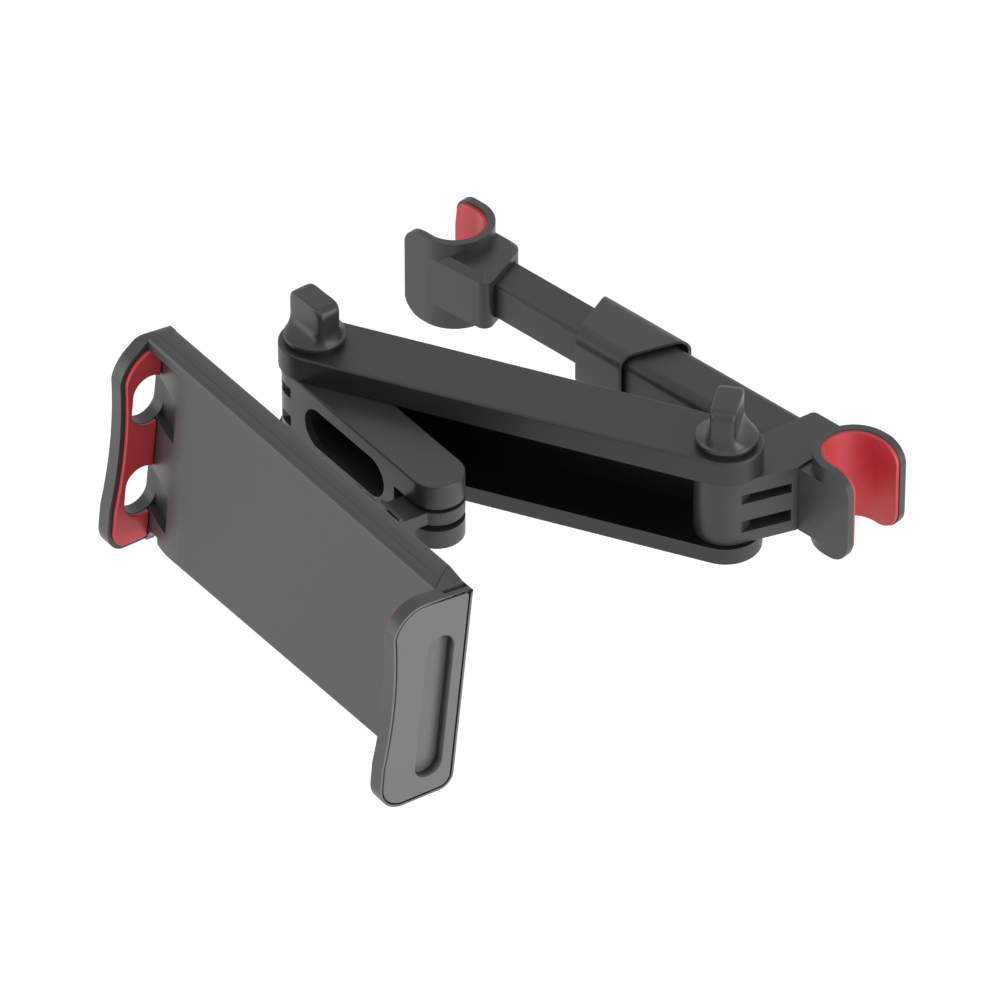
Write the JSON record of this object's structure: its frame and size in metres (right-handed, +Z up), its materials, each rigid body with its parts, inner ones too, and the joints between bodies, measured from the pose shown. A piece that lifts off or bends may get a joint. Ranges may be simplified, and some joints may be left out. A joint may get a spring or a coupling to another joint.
{
  "type": "headrest tablet mount",
  "caption": "Folding headrest mount for a tablet: a sprung bar with two post hooks, hinged arms, and a ball-jointed clamp with spring jaws.",
  "frame": {"origin": "on the right headrest post's axis, at the middle of the right hook's pad", "axes": "+Z up along the posts, +X along the bar from the left post to the right one, -Y the side that the tablet faces"},
  "size_m": [0.1547, 0.151, 0.0606],
  "materials": {
    "arm_plastic": "satin moulded, fine grain",
    "bar_paint": "black anodised",
    "red_rubber": "soft silicone, satin",
    "steel": "zinc plated",
    "spring_steel": "bright wire"
  },
  "bodies": {
    "bar": {"outer_bar": "bar_paint", "bar_collar": "arm_plastic", "pivot_bracket": "arm_plastic", "right_hook": "arm_plastic", "right_hook_pad": "red_rubber", "bar_spring": "spring_steel", "bar_stop_screw": "steel"},
    "bar_slider": {"inner_bar": "bar_paint", "left_hook": "arm_plastic", "left_hook_pad": "red_rubber", "left_hook_screw": "steel"},
    "main_arm": {"main_arm": "arm_plastic", "right_pivot_nut": "steel", "left_pivot_nut": "steel"},
    "right_knob": {"right_knob": "arm_plastic", "right_pivot_bolt": "steel", "right_knob_washer": "steel"},
    "left_knob": {"left_knob": "arm_plastic", "left_pivot_bolt": "steel", "left_knob_washer": "steel"},
    "short_arm": {"short_arm": "arm_plastic", "end_pivot_screw": "steel"},
    "swivel_link": {"swivel_link": "arm_plastic"},
    "ball_cup": {"ball_cup": "arm_plastic"},
    "ball_ring_nut": {"ball_ring_nut": "arm_plastic"},
    "clamp": {"clamp_body": "arm_plastic", "clamp_rear_cover": "arm_plastic", "left_jaw_pad": "red_rubber", "clamp_springs": "spring_steel", "cover_screws": "steel"},
    "clamp_slider": {"clamp_slider": "arm_plastic", "right_jaw_cover": "arm_plastic", "right_jaw_pad": "red_rubber"}
  },
  "joints": [
    {"name": "bar_slide", "type": "slide", "parent": "bar", "child": "bar_slider", "axis": [1, 0, 0], "range_m": [0, 0.025], "stiffness_N_per_m": 300, "springref_m": -0.01, "deforming": ["bar_spring"]},
    {"name": "main_arm_pivot", "type": "hinge", "parent": "bar", "child": "main_arm", "pos_m": [-0.0223, -0.0216, 0], "axis": [0, 0, 1], "range_deg": [-20, 150]},
    {"name": "right_knob_turn", "type": "hinge", "parent": "main_arm", "child": "right_knob", "pos_m": [-0.0223, -0.0216, 0.02], "axis": [0, 0, 1], "continuous": true},
    {"name": "left_knob_turn", "type": "hinge", "parent": "main_arm", "child": "left_knob", "pos_m": [-0.12272, -0.06136, 0.02], "axis": [0, 0, 1], "continuous": true},
    {"name": "short_arm_pivot", "type": "hinge", "parent": "main_arm", "child": "short_arm", "pos_m": [-0.12272, -0.06136, 0], "axis": [0, 0, 1], "range_deg": [-120, 25]},
    {"name": "link_swivel", "type": "hinge", "parent": "short_arm", "child": "swivel_link", "pos_m": [-0.07096, -0.0719, 0], "axis": [0, 0, -1], "range_deg": [-70, 12]},
    {"name": "ball_tilt", "type": "hinge", "parent": "swivel_link", "child": "ball_cup", "pos_m": [-0.07672, -0.09417, -0.0025], "axis": [0.9846, -0.1747, 0], "range_deg": [-20, 20]},
    {"name": "ring_nut_turn", "type": "hinge", "parent": "ball_cup", "child": "ball_ring_nut", "pos_m": [-0.07672, -0.09417, -0.0025], "axis": [-0.1736, -0.9785, 0.1115], "continuous": true},
    {"name": "clamp_spin", "type": "hinge", "parent": "ball_cup", "child": "clamp", "pos_m": [-0.07672, -0.09417, -0.0025], "axis": [-0.1736, -0.9785, 0.1115], "continuous": true},
    {"name": "clamp_slide", "type": "slide", "parent": "clamp", "child": "clamp_slider", "axis": [0.9846, -0.1747, 0], "range_m": [0, 0.07], "stiffness_N_per_m": 60, "springref_m": -0.05, "deforming": ["clamp_springs"]}
  ]
}
